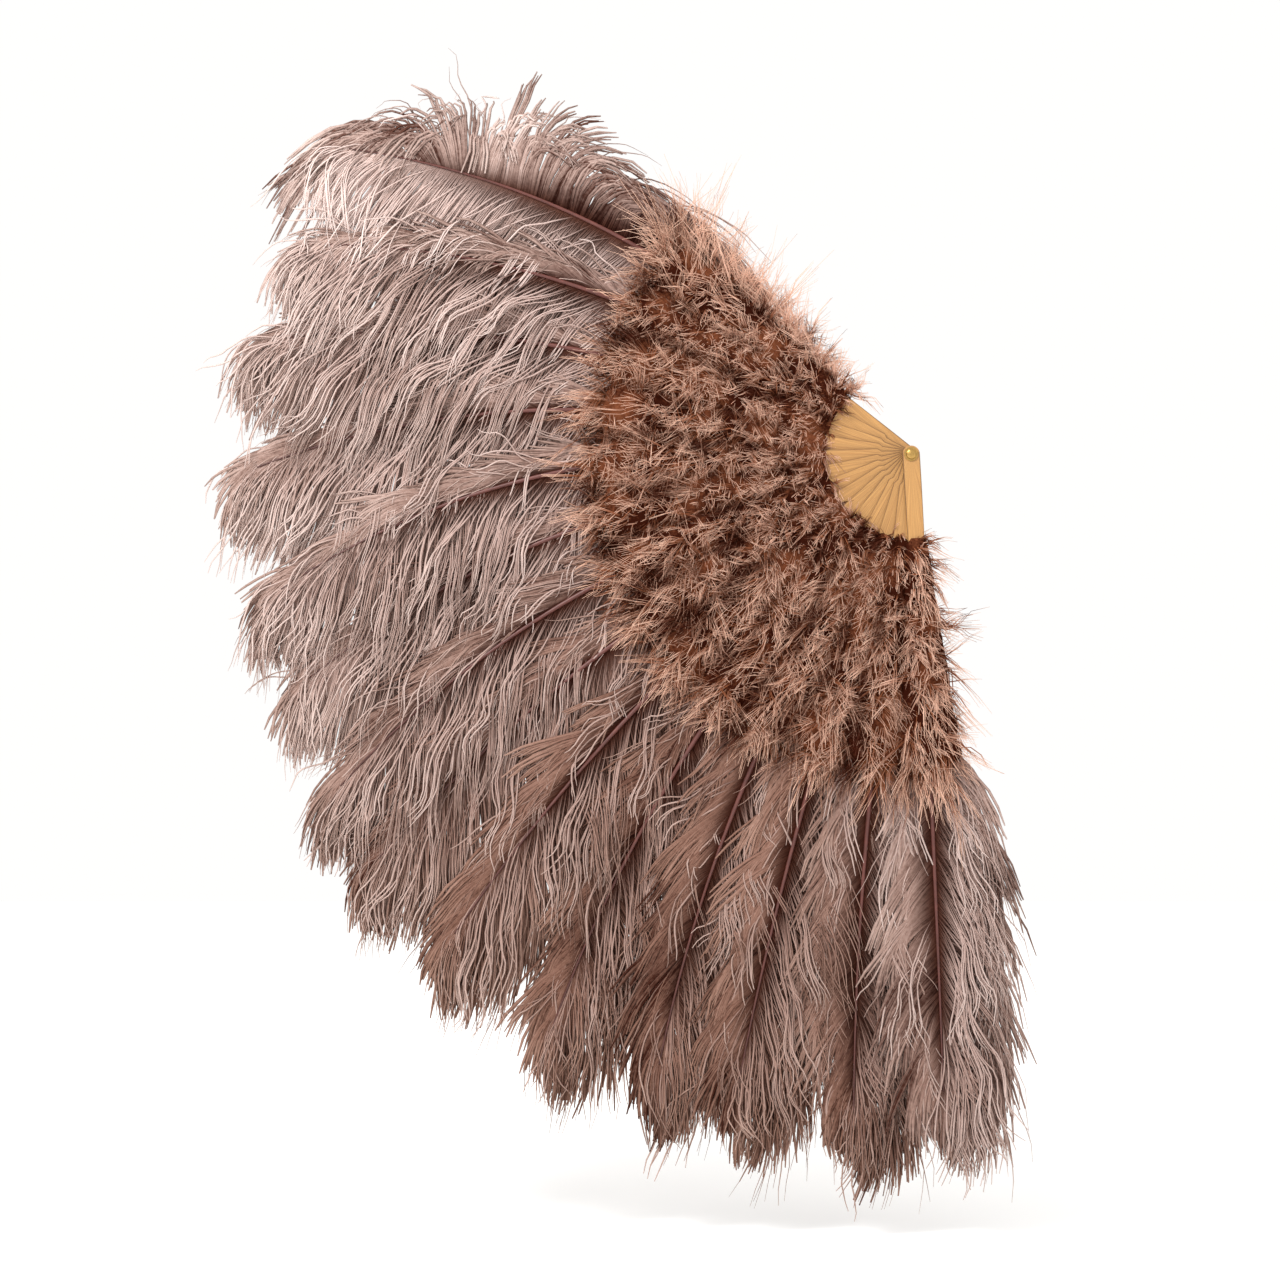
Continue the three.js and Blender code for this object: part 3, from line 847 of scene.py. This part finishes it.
def mesh_object(name, points, edges=(), faces=()):
    """An object in the scene with a mesh of its own."""
    mesh = bpy.data.meshes.new(name)
    mesh.from_pydata(points, edges, faces)
    made = bpy.data.objects.new(name, mesh)
    bpy.context.scene.collection.objects.link(made)
    return made


def line_object(name, points):
    """An object whose mesh is one open line through points."""
    return mesh_object(name, points, edges=[(k, k + 1) for k in range(len(points) - 1)])


def settle(piece):
    """Leaves the plain mesh that a piece's modifiers make."""
    bpy.context.view_layer.update()
    evaluated = piece.evaluated_get(bpy.context.evaluated_depsgraph_get())
    mesh = bpy.data.meshes.new_from_object(evaluated)
    if not mesh.polygons:
        raise RuntimeError(f"{piece.name} came out empty")
    piece.modifiers.clear()
    mesh.name = piece.name
    piece.data = mesh


def grow(piece, feather, **values):
    """Grows a feather on a line object, with values for the feather's named inputs."""
    modifier = piece.modifiers.new("feather", "NODES")
    modifier.node_group = feather.tree
    for title, value in values.items():
        modifier[feather.identifiers[title]] = value
    settle(piece)


def place_piece(piece, stave, slot, *nodes):
    """Puts a feather on the body that it rides on and hides the nodes of the frame that it stands for. Its
    slot is not used.
    """
    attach(piece, stave.body)
    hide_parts(*nodes)


class Finish(NodeTree):
    """A material, written as a formula."""

    def __init__(self, name):
        self.material = bpy.data.materials.new(name)
        self.material.use_nodes = True
        super().__init__(self.material.node_tree)

    def held(self, title):
        """A value that a feather's strands hold."""
        return self.node("ShaderNodeAttribute", output="Fac", settings={"attribute_name": title})

    def placed(self, effect, **values):
        """An effect that several finishes share, built once, with this finish's own values."""
        group = bpy.data.node_groups.get(effect.__name__) or effect()
        return self.node("ShaderNodeGroup", settings={"node_tree": group}, **values)

    def applied(self, **values):
        """The material, with its main shader's sockets fed by name."""
        feed_by_name(self.tree, self.tree.nodes["Principled BSDF"], values)
        return self.material


def feather_shade():
    """Colour of a strand from root to end, with lighter and darker strands among the rest, browned and
    darkened where shade is painted.
    """
    group = GroupTree("feather_shade", "ShaderNodeTree", "colours", colours="root middle tip",
                      numbers="along tone brown patch_scale patch_depth fuzz_scale fuzz_depth")
    rooted = group.mixed_colour(group.smooth_step(group["along"], 0.0, 0.35), group["root"], group["middle"])
    tipped = group.mixed_colour(group.smooth_step(group["along"], 0.4, 1.0, end=0.85), rooted, group["tip"])
    tone = group["tone"]
    for kind in ("patch", "fuzz"):
        specks = group.noise(group.place(), group[f"{kind}_scale"], detail=2.0)
        tone = (specks - 0.5) * group[f"{kind}_depth"] + tone
    dark, usual, light = (0.17, 0.09, 0.07), (0.82, 0.76, 0.73), (1.3, 1.34, 1.36)
    shade = group.ramp(group.span(tone, -0.1, 1.0), dark, usual, light)
    # The brown mix is painted shade: it browns and darkens the lower plumes and the tips of hanging ones
    plain, brown = (1, 1, 1), (0.5, 0.37, 0.31)
    return group.close(tipped * shade * group.mixed_colour(group["brown"], plain, brown))


def fan_coordinates():
    """Texture coordinates that run along each stave: angle about the rivet, distance from it, and depth."""
    group = GroupTree("fan_coordinates", "ShaderNodeTree", "vectors", numbers="around outward")
    x, y, z = group.outputs(group.node("ShaderNodeSeparateXYZ", vector=group.place()))
    reach = group.node("ShaderNodeCombineXYZ", x=x, y=z).join("LENGTH")
    polar = group.node("ShaderNodeCombineXYZ", x=z.join("ARCTAN2", x), y=reach, z=y)
    around = group["around"]
    return group.close(polar * group.node("ShaderNodeCombineXYZ", x=around, y=group["outward"], z=around))


def mottle():
    """A colour that is brighter or darker from patch to patch."""
    group = GroupTree("mottle", "ShaderNodeTree", "colours", colours="base", vectors="place",
                      numbers="scale detail low high first last")
    patches = group.noise(group["place"], group["scale"], group["detail"])
    level = group.span(patches, group["low"], group["high"], group["first"], group["last"])
    return group.close(group.node("ShaderNodeHueSaturation", color=group["base"], value=level))


def feather_material(name, settings, **specks):
    """A soft feather whose strands shade from root to end."""
    finish = Finish(name)
    strand = {title: finish.held(title) for title in ("along", "tone", "brown")}
    shade = finish.placed(feather_shade, root=settings.root_colour, middle=settings.middle_colour,
                          tip=settings.tip_colour, **strand, **specks)
    return finish.applied(base_color=shade, roughness=0.8, specular_ior_level=0.03)


def darker(shade, part):
    """A colour with only part of its light."""
    return tuple(part * value for value in shade)


def bamboo_material(settings, stave):
    """Lacquered bamboo with fine fibres along a stave, and painted shade darkening its edges where the
    staves meet.
    """
    finish = Finish(f"lacquered_bamboo_{stave.number}")
    fine = finish.placed(fan_coordinates, around=160.0, outward=9.0)
    broad = finish.placed(fan_coordinates, around=40.0, outward=14.0)
    fibres = finish.noise(fine, scale=1.0, detail=5.0, roughness=0.65)
    thin = finish.span(fibres, 0.42, 0.72)
    base = finish.mixed_colour(thin, settings.bamboo_colour, settings.fibre_colour)
    banded = finish.placed(mottle, base=base, place=broad, scale=1.0, detail=2.0, low=0.3, high=0.7,
                           first=0.86, last=1.1)
    turned = finish.node("ShaderNodeVectorRotate", settings={"rotation_type": "Y_AXIS"}, angle=stave.angle,
                         vector=finish.place())
    along, _, aside = finish.outputs(finish.node("ShaderNodeSeparateXYZ", vector=turned))
    # Painted shade: a dark line along the stave's edges, where its neighbours shade it
    half_width = finish.span(along, *stave.shoulder, stave.neck_half_width, stave.half_width)
    edge = finish.span(half_width - aside.join("ABSOLUTE"), 0.0003, 0.0012, start=0.85, end=0.0)
    edge_shaded = finish.mixed_colour(edge, banded, darker(settings.fibre_colour, 0.35))
    gloss = finish.span(fibres, 0.3, 0.8, start=0.34, end=0.55)
    bump = finish.node("ShaderNodeBump", strength=0.25, distance=0.0003, height=fibres)
    return finish.applied(base_color=edge_shaded, roughness=gloss, normal=bump, coat_weight=0.25,
                          coat_roughness=0.2)


def brass_material(settings):
    """Brass with fine turning marks and a little tarnish."""
    finish = Finish("turned_brass")
    tarnished = finish.placed(mottle, base=settings.brass_colour, place=finish.place(), scale=420.0,
                              detail=4.0, low=0.3, high=0.75, first=1.0, last=0.7)
    marks = finish.noise(finish.placed(fan_coordinates, around=0.2, outward=9000.0), scale=1.0, detail=1.0)
    gloss = finish.span(marks, 0.3, 0.7, start=0.24, end=0.42)
    return finish.applied(base_color=tarnished, roughness=gloss, metallic=1.0)


def satin_material(settings):
    """Satin ribbon with fine threads along it."""
    finish = Finish("satin_ribbon")
    threads = finish.placed(fan_coordinates, around=6.0, outward=2400.0)
    woven = finish.placed(mottle, base=settings.ribbon_colour, place=threads, scale=1.0, detail=2.0,
                          low=0.3, high=0.7, first=0.85, last=1.15)
    weave = finish.noise(threads, scale=1.0, detail=2.0)
    bump = finish.node("ShaderNodeBump", strength=0.3, distance=0.0001, height=weave)
    return finish.applied(base_color=woven, normal=bump, roughness=0.36, sheen_weight=0.3)


def quill_material(settings):
    """A dark, slightly glossy quill with streaks, darkest at its fine end."""
    finish = Finish("plume_quill")
    dark = darker(settings.quill_colour, 0.55)
    aged = finish.mixed_colour(finish.held("along"), settings.quill_colour, dark)
    streaked = finish.placed(mottle, base=aged, place=finish.place(), scale=90.0, detail=4.0,
                             low=0.3, high=0.7, first=0.75, last=1.25)
    return finish.applied(base_color=streaked, roughness=0.42)


def floor_material(settings):
    """A plain pale floor with hardly any mottle."""
    finish = Finish("pale_floor")
    mottled = finish.placed(mottle, base=settings.floor_colour, place=finish.place(), scale=3.0, detail=3.0,
                            low=0.3, high=0.7, first=0.985, last=1.0)
    return finish.applied(base_color=mottled, roughness=0.9)


class FAN_OT_stage(bpy.types.Operator):
    """Makes the floor, the soft light and the camera"""

    bl_idname = "feather_fan.stage"
    bl_label = "Stage"
    exposure = 0.5
    room_colour = (1.0, 0.99, 0.98, 1)
    room_strength = 0.715
    # Each light's place from the fan's middle, its side and its power in watts
    lights = {
        "key_light": ((-0.9, -1.2, 1.6), 0.8, 32),
        "fill_light": ((2.4, -2.6, 0.6), 2.4, 4),
        "rim_light": ((0.6, 2.4, 2.2), 2.0, 20),
    }

    def execute(self, context):
        settings = context.scene.feather_fan.stage
        scene = context.scene
        scene.view_settings.view_transform = "Standard"
        scene.view_settings.exposure = self.exposure
        world = bpy.data.worlds.new("pale_room")
        world.use_nodes = True
        world.node_tree.nodes["Background"].inputs["Color"].default_value = self.room_colour
        world.node_tree.nodes["Background"].inputs["Strength"].default_value = self.room_strength
        scene.world = world

        low, high = CAD_BOX
        half = settings.floor_size / 2
        level = low.z - settings.floor_gap
        corners = [(-half, -half, level), (half, -half, level), (half, half, level), (-half, half, level)]
        floor = mesh_object("floor", corners, faces=[(0, 1, 2, 3)])
        floor.data.materials.append(floor_material(settings))

        for name, (offset, size, power) in self.lights.items():
            self.light(scene, name, (low + high) / 2, Vector(offset), size, power)

        camera = bpy.data.objects.new("camera", bpy.data.cameras.new("camera"))
        camera.data.lens = camera.data.sensor_width * settings.view_distance / settings.view_width
        camera.location = (settings.view_x, -settings.view_distance, settings.view_z)
        camera.rotation_euler = (math.pi / 2, 0, 0)
        scene.collection.objects.link(camera)
        scene.camera = camera
        return {"FINISHED"}

    @staticmethod
    def light(scene, name, aim, offset, size, power):
        """A square soft light that looks at a point."""
        lamp = bpy.data.lights.new(name, "AREA")
        lamp.size = size
        lamp.energy = power
        made = bpy.data.objects.new(name, lamp)
        made.location = aim + offset
        made.rotation_euler = (-offset).to_track_quat("-Z", "Y").to_euler()
        scene.collection.objects.link(made)


class FAN_OT_staves(bpy.types.Operator):
    """Finishes the bamboo staves and guards"""

    bl_idname = "feather_fan.staves"
    bl_label = "Staves"

    def execute(self, context):
        for stave in STAVES:
            repaint(frame["nodes"][stave.body], bamboo_material(context.scene.feather_fan.stave, stave))
        return {"FINISHED"}


class FAN_OT_rivet(bpy.types.Operator):
    """Finishes the rivet and its washers"""

    bl_idname = "feather_fan.rivet"
    bl_label = "Rivet"

    def execute(self, context):
        brass = brass_material(context.scene.feather_fan.stave)
        for name in ("pivot_rivet", "rear_washer", "front_washer"):
            repaint(frame["nodes"][name], brass)
        return {"FINISHED"}


def repaint(node, material):
    """Gives a node of the frame one material."""
    node.data.materials.clear()
    node.data.materials.append(material)


class FAN_OT_ribbon(bpy.types.Operator):
    """Makes the ribbon, one stretch between each two staves"""

    bl_idname = "feather_fan.ribbon"
    bl_label = "Ribbon"
    steps = 10

    def execute(self, context):
        settings = context.scene.feather_fan.stave
        satin = satin_material(settings)
        for behind, ahead in zip(STAVES, STAVES[1:]):
            self.stretch(settings, satin, behind, ahead)
        return {"FINISHED"}

    def stretch(self, settings, satin, behind, ahead):
        """One stretch, from the front of one stave to the back of the next."""
        inset = CLEARANCE + settings.ribbon_thickness / 2
        half = settings.ribbon_width / 2
        points = []
        for step in range(self.steps + 1):
            part = step / self.steps
            turn = (ahead.angle - behind.angle) % FULL_TURN * part
            for radius in (settings.ribbon_radius - half, settings.ribbon_radius + half):
                leave = behind.middle(radius) - behind.thickness / 2 - inset
                arrive = ahead.middle(radius) + ahead.thickness / 2 + inset
                place = behind.direction(turn) * radius
                place.y = leave + (arrive - leave) * part
                points.append(place)
        faces = [(2 * k, 2 * k + 1, 2 * k + 3, 2 * k + 2) for k in range(self.steps)]
        node = f"ribbon_link_{behind.number}"
        piece = mesh_object(f"ribbon_{behind.number}", points, faces=faces)
        piece.data.materials.append(satin)
        solid = piece.modifiers.new("thickness", "SOLIDIFY")
        solid.thickness = settings.ribbon_thickness
        solid.offset = 0
        settle(piece)
        start = behind.direction() * settings.ribbon_radius
        end = ahead.direction() * settings.ribbon_radius
        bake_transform(piece)
        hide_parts(node)


class FAN_OT_plumes(bpy.types.Operator):
    """Makes each plume: its quill and its barbs"""

    bl_idname = "feather_fan.plumes"
    bl_label = "Plumes"
    sweep = math.radians(246)            # where the barbs under a level quill point, in the fan's plane
    least_spread = math.radians(57)      # between a quill and the barbs under it
    greatest_spread = math.radians(70)
    tip_spread = math.radians(5)         # between a quill and its last barbs
    roundness = 8.0                      # the higher, the nearer to the tip the barbs turn along the quill
    first_seed = 7

    def execute(self, context):
        settings = context.scene.feather_fan.plume
        barb_finish = feather_material("ostrich_barbs", settings, patch_scale=9.0, patch_depth=1.2,
                                       fuzz_scale=260.0, fuzz_depth=0.5)
        quill_finish = quill_material(settings)
        barbs = barb_tree()
        quill = quill_tree()
        for stave in STAVES:
            shaft = line_object(f"quill_{stave.number}", plume_line(settings, stave, settings.quill_start))
            grow(shaft, quill, root_radius=settings.quill_radius, tip_radius=settings.quill_tip_radius,
                 material=quill_finish)
            vane = line_object(f"barbs_{stave.number}", plume_line(settings, stave, settings.vane_start))
            grow(vane, barbs, **self.habit(settings, stave), sheet_barbs=settings.sheet_barbs,
                 clumps=settings.clumps, barb_radius=settings.barb_radius, lower_tip=self.tip_spread,
                 upper_tip=self.tip_spread, roundness=self.roundness, lift=PLUME_HANG[stave.index],
                 lean_start=settings.lean_start, lean_full=settings.lean_full, reach=settings.reach,
                 brown=PLUME_PAINTED_SHADE[stave.index], seed=SEED_STEP * stave.index + self.first_seed,
                 material=barb_finish)
            for piece in (shaft, vane):
                place_piece(piece, stave, "ostrich", f"plume_{stave.number}")
        return {"FINISHED"}

    def habit(self, settings, stave):
        """How one plume's barbs grow, between a hanging plume and a level one."""
        level = abs(math.cos(stave.angle))
        habit = {name: hanging + (flat - hanging) * level for name, (hanging, flat) in PLUME_HABIT.items()}
        if stave is STAVES[0]:
            habit.update(TOP_PLUME_HABIT)
        sweep = self.sweep - stave.angle % FULL_TURN
        return {
            "string_barbs": round(settings.string_barbs * habit.pop("string_share")),
            "rope_barbs": round(settings.rope_barbs * habit.pop("rope_share")),
            "lower_length": settings.barb_length * habit.pop("lower_share"),
            "upper_length": settings.barb_length * habit.pop("upper_share"),
            "lower_base": min(max(sweep, self.least_spread), self.greatest_spread),
            **habit,
        }


class FAN_OT_marabou(bpy.types.Operator):
    """Makes the marabou strips on the staves' fronts and on the rear guard's back"""

    bl_idname = "feather_fan.marabou"
    bl_label = "Marabou"
    edge_lean = 0.4      # how far the strips on the two guards lean over the fan's edges
    edge_paling = 0.25   # how much paler they are painted, as painted backlight, for each bit of lean
    # The strip on the back leans far over the upper edge, where its long strands make a fringe that is
    # painted light and pale, as painted backlight
    fringe = {"lean": -1.4, "light": 1.1, "pale": 0.35, "size": 1.6, "scatter": 0.6, "aside": -0.010}

    def execute(self, context):
        settings = context.scene.feather_fan.marabou
        finish = feather_material("marabou_tufts", settings, patch_scale=26.0, patch_depth=2.4,
                                  fuzz_scale=420.0, fuzz_depth=1.0)
        tufts = marabou_tree()
        outside = {STAVES[0]: self.edge_lean, STAVES[-1]: -self.edge_lean}
        for stave in STAVES:
            lean = outside.get(stave, 0.0)
            # The strips on the guards are painted lighter and paler, as painted backlight where they lean
            # over the fan's edges
            self.strip(settings, tufts, finish, stave, f"marabou_{stave.number}", -1, lean=lean,
                       light=abs(lean), pale=abs(lean) * self.edge_paling)
        self.strip(settings, tufts, finish, STAVES[0], "marabou_rear", 1, **self.fringe)
        return {"FINISHED"}

    @staticmethod
    def strip(settings, tufts, finish, stave, node, side, size=1.0, scatter=1.3, **look):
        """One strip, on a stave's front where side is -1, or on its back where side is 1."""
        line = []
        for radius in (settings.start, settings.reach):
            place = stave.direction() * radius
            place.y = stave.middle(radius) + side * (stave.thickness / 2 + CLEARANCE)
            line.append(place)
        front = (line[1] - line[0]).cross(stave.direction(math.pi / 2)).normalized()
        front = front if front.y * side > 0 else -front
        piece = line_object(f"{node}_tufts", line)
        grow(piece, tufts, strands=settings.strands, tufts=settings.tufts, locks=settings.locks,
             strand_length=settings.strand_length * size, strand_radius=settings.strand_radius,
             inner_half_width=settings.inner_half_width, outer_half_width=settings.outer_half_width,
             front=front, scatter=scatter, **look, seed=SEED_STEP * stave.index + side + 1, material=finish)
        place_piece(piece, stave, "marabou", node)
        if side < 0 and stave is not STAVES[-1]:
            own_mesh(piece)


class FAN_PT_panel(bpy.types.Panel):
    """Lists the fan's pieces in the 3D view's sidebar"""

    bl_idname = "FAN_PT_panel"
    bl_label = "Feather Fan"
    bl_space_type = "VIEW_3D"
    bl_region_type = "UI"
    bl_category = "Feather Fan"

    def draw(self, context):
        for operator in OPERATORS:
            self.layout.operator(operator.bl_idname)


OPERATORS = (FAN_OT_stage, FAN_OT_staves, FAN_OT_rivet, FAN_OT_ribbon, FAN_OT_plumes, FAN_OT_marabou)
SETTINGS = (FanPlumeSettings, FanMarabouSettings, FanStaveSettings, FanStageSettings, FanSettings)
CLASSES = (*SETTINGS, *OPERATORS, FAN_PT_panel)


def register():
    """Makes the fan's settings, operators and panel known."""
    for item in CLASSES:
        bpy.utils.register_class(item)
    bpy.types.Scene.feather_fan = bpy.props.PointerProperty(type=FanSettings)


def unregister():
    """Takes them away again."""
    del bpy.types.Scene.feather_fan
    for item in reversed(CLASSES):
        bpy.utils.unregister_class(item)


def main():
    """Makes the whole fan."""
    register()
    bpy.ops.feather_fan.stage()
    bpy.ops.feather_fan.staves()
    bpy.ops.feather_fan.rivet()
    bpy.ops.feather_fan.ribbon()
    bpy.ops.feather_fan.plumes()
    bpy.ops.feather_fan.marabou()


if __name__ == "__main__":
    main()
